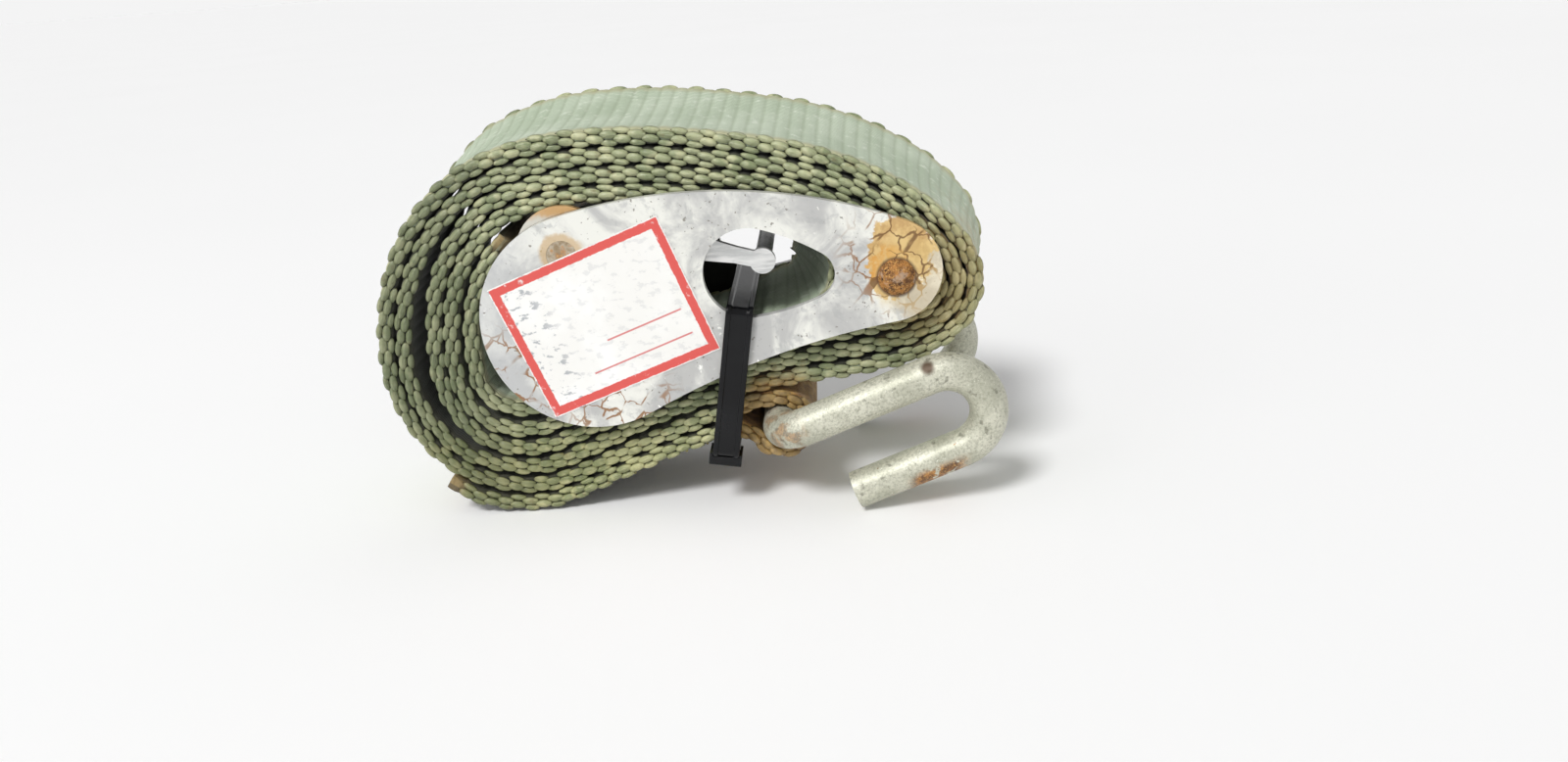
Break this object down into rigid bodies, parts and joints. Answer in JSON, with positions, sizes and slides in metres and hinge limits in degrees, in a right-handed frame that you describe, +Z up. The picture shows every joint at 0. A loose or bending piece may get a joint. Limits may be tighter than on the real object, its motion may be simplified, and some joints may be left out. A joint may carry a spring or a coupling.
{
  "type": "ratchet webbing tie-down",
  "caption": "Cargo tie-down strap rolled round its own flat ratchet, with a double J hook sewn into the end and a cable tie that holds the roll.",
  "frame": {"origin": "on the floor, below the middle of the bounding box", "axes": "+X along the roll from its round end to the hook, +Y across the webbing from the labelled plate to the other, +Z up"},
  "size_m": [0.1646, 0.07, 0.1023],
  "materials": {
    "plate": "weathered, mottled grey, rust runs by the anchor pin",
    "rusty_steel": "rusty",
    "plated_steel": "plated, dulled",
    "lever_alloy": "bare, worn bright",
    "spring_steel": "drawn wire",
    "bronze": "plain bearing bronze",
    "webbing": "woven nylon, faded green, ribbed",
    "thread": "sewing thread",
    "galvanised_steel": "zinc coated, grainy, rust spots",
    "black_nylon": "moulded nylon",
    "label_paper": "printed red border, smudged"
  },
  "bodies": {
    "housing": {"front_side_plate": "plate", "rear_side_plate": "plate", "anchor_pin": "rusty_steel", "anchor_washers": "rusty_steel", "lever_pin": "plated_steel", "lever_shims": "plated_steel", "lever_spring": "spring_steel", "drum_bush_front": "bronze", "drum_bush_rear": "bronze", "webbing_strap": "webbing", "loop_stitching": "thread", "cable_tie_band": "black_nylon", "cable_tie_head": "black_nylon", "inspection_label": "label_paper"},
    "lever": {"release_lever_front": "lever_alloy", "release_lever_rear": "lever_alloy", "lever_cross_bar": "lever_alloy", "locking_pawl": "plated_steel"},
    "drum": {"drum_half_upper": "plated_steel", "drum_half_lower": "plated_steel", "ratchet_wheel_front": "plated_steel", "ratchet_wheel_rear": "plated_steel"},
    "roller": {"anchor_roller": "rusty_steel"},
    "hook": {"double_hook": "galvanised_steel"}
  },
  "joints": [
    {"name": "lever_lift", "type": "hinge", "parent": "housing", "child": "lever", "pos_m": [-0.0292, 0, 0.0721], "axis": [0, -1, 0], "range_deg": [0, 9.5], "stiffness_Nm_per_rad": 0.15, "springref_deg": -34.38, "deforming": ["lever_spring"]},
    {"name": "drum_spin", "type": "hinge", "parent": "housing", "child": "drum", "pos_m": [-0.0243, 0, 0.054], "axis": [0, 1, 0], "continuous": true},
    {"name": "roller_spin", "type": "hinge", "parent": "housing", "child": "roller", "pos_m": [0.0544, 0, 0.0613], "axis": [0, 1, 0], "continuous": true},
    {"name": "hook_swing", "type": "hinge", "parent": "housing", "child": "hook", "pos_m": [0.0225, 0, 0.02112], "axis": [0, -1, 0], "range_deg": [-75, 12]}
  ]
}
